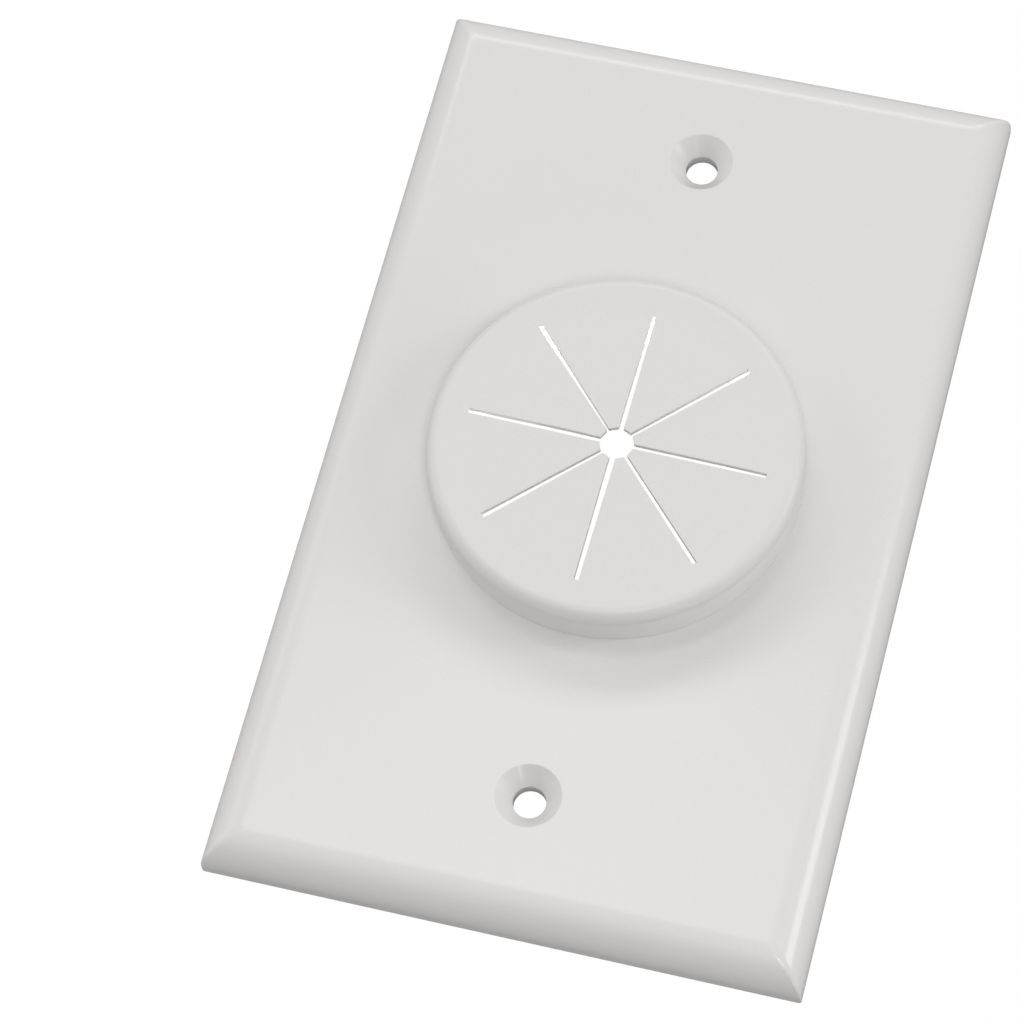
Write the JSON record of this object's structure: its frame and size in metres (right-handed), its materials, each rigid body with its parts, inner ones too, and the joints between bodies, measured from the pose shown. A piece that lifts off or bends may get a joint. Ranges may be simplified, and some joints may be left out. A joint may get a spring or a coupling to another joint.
{
  "type": "wall pass-through plate",
  "caption": "Flat white wall plate with rounded edges, countersunk screw holes and a raised round grommet whose slit skin lets low-voltage cables pass through the wall.",
  "frame": {"origin": "centre of the plate's back plane, which lies on the wall", "axes": "+Z out of the wall through the grommet, +Y up the plate along its length, +X to the right seen from the front"},
  "size_m": [0.0694, 0.1134, 0.0122],
  "materials": {
    "plate_plastic": "white moulded thermoplastic with a fine satin texture",
    "grommet_plastic": "white soft moulded elastomer, matt"
  },
  "bodies": {
    "root": {"wall_plate": "plate_plastic", "cable_grommet": "grommet_plastic"}
  },
  "joints": []
}
